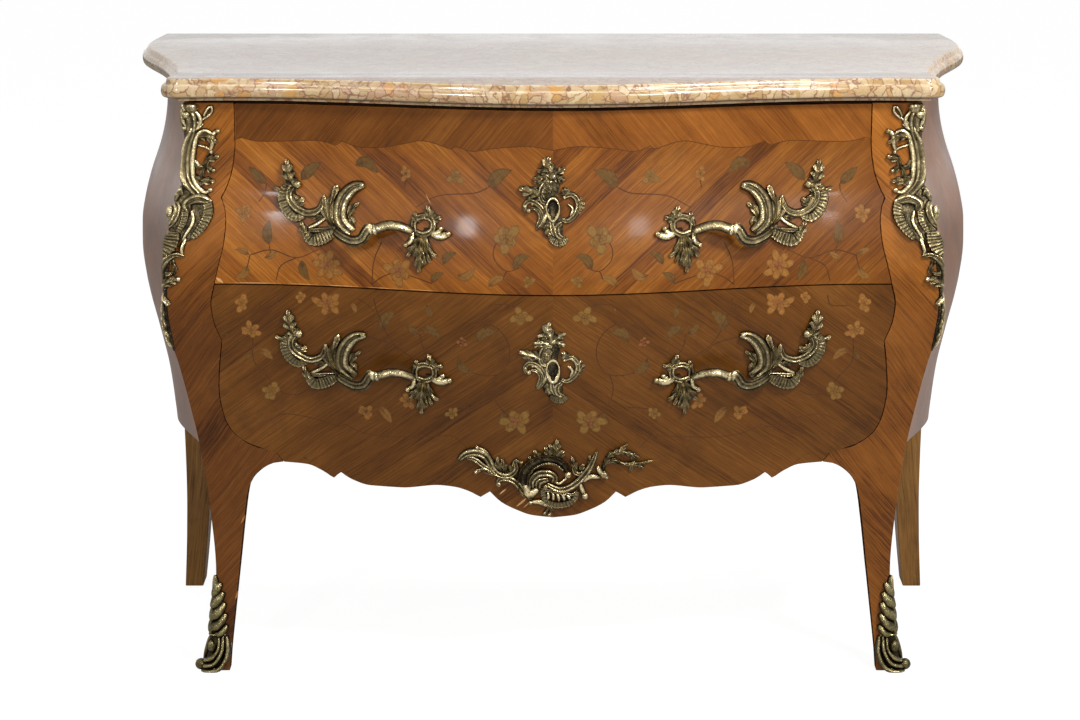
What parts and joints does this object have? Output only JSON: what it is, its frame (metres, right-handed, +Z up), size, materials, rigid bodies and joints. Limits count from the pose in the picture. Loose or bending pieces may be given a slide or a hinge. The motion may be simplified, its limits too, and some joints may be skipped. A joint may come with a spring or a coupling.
{
  "type": "commode chest",
  "caption": "Serpentine bombe commode with a moulded marble top, long locking drawers in floral marquetry and cast gilt mounts.",
  "frame": {"origin": "on the floor, under the middle of the object's box", "axes": "+X to the right as seen from the front, -Y towards the front, +Z up"},
  "size_m": [1.249, 0.6228, 0.87],
  "materials": {
    "marble": "polished breccia marble, cream with ochre and red-brown veins",
    "veneer": "tulipwood strip veneer with floral marquetry, satin polish",
    "plain_wood": "plain stained wood, waxed",
    "carcass_wood": "unfinished carcass wood",
    "dark_rail": "ebonised, matt",
    "bronze": "cast gilt metal, antiqued in the recesses",
    "iron": "dull lock steel"
  },
  "bodies": {
    "carcass": {"marble_top": "marble", "top_front_rail": "dark_rail", "top_side_rail_right": "carcass_wood", "top_side_rail_left": "carcass_wood", "top_back_rail": "carcass_wood", "front_post_right": "veneer", "front_post_left": "veneer", "rear_post_right": "plain_wood", "rear_post_left": "plain_wood", "side_panel_right": "veneer", "side_panel_left": "veneer", "back_board_upper": "plain_wood", "back_board_lower": "plain_wood", "divider_front_rail": "carcass_wood", "dust_board": "carcass_wood", "bottom_front_rail": "carcass_wood", "bottom_board": "carcass_wood", "upper_runner_right": "carcass_wood", "upper_runner_left": "carcass_wood", "lower_runner_right": "carcass_wood", "lower_runner_left": "carcass_wood", "corner_mount_right": "bronze", "corner_mount_left": "bronze", "sabot_right": "bronze", "sabot_left": "bronze"},
    "upper_drawer": {"upper_drawer_front": "veneer", "upper_drawer_side_right": "carcass_wood", "upper_drawer_side_left": "carcass_wood", "upper_drawer_back": "carcass_wood", "upper_drawer_bottom": "carcass_wood", "upper_drawer_lock_case": "iron", "upper_drawer_handle_right": "bronze", "upper_drawer_handle_left": "bronze", "upper_drawer_handle_nut_outer_right": "iron", "upper_drawer_handle_nut_outer_left": "iron", "upper_drawer_handle_nut_inner_right": "iron", "upper_drawer_handle_nut_inner_left": "iron", "upper_drawer_escutcheon": "bronze"},
    "lower_drawer": {"lower_drawer_front": "veneer", "lower_drawer_side_right": "carcass_wood", "lower_drawer_side_left": "carcass_wood", "lower_drawer_back": "carcass_wood", "lower_drawer_bottom": "carcass_wood", "lower_drawer_lock_case": "iron", "lower_drawer_handle_right": "bronze", "lower_drawer_handle_left": "bronze", "lower_drawer_handle_nut_outer_right": "iron", "lower_drawer_handle_nut_outer_left": "iron", "lower_drawer_handle_nut_inner_right": "iron", "lower_drawer_handle_nut_inner_left": "iron", "lower_drawer_escutcheon": "bronze", "apron_mount": "bronze"},
    "upper_lock_bolt": {"upper_drawer_lock_bolt": "iron"},
    "lower_lock_bolt": {"lower_drawer_lock_bolt": "iron"}
  },
  "joints": [
    {"name": "upper_drawer_slide", "type": "slide", "parent": "carcass", "child": "upper_drawer", "axis": [0, -1, 0], "range_m": [0, 0.3]},
    {"name": "lower_drawer_slide", "type": "slide", "parent": "carcass", "child": "lower_drawer", "axis": [0, -1, 0], "range_m": [0, 0.3]},
    {"name": "upper_lock_bolt_slide", "type": "slide", "parent": "upper_drawer", "child": "upper_lock_bolt", "axis": [0, 0, 1], "range_m": [0, 0.008]},
    {"name": "lower_lock_bolt_slide", "type": "slide", "parent": "lower_drawer", "child": "lower_lock_bolt", "axis": [0, 0, 1], "range_m": [0, 0.008]}
  ]
}
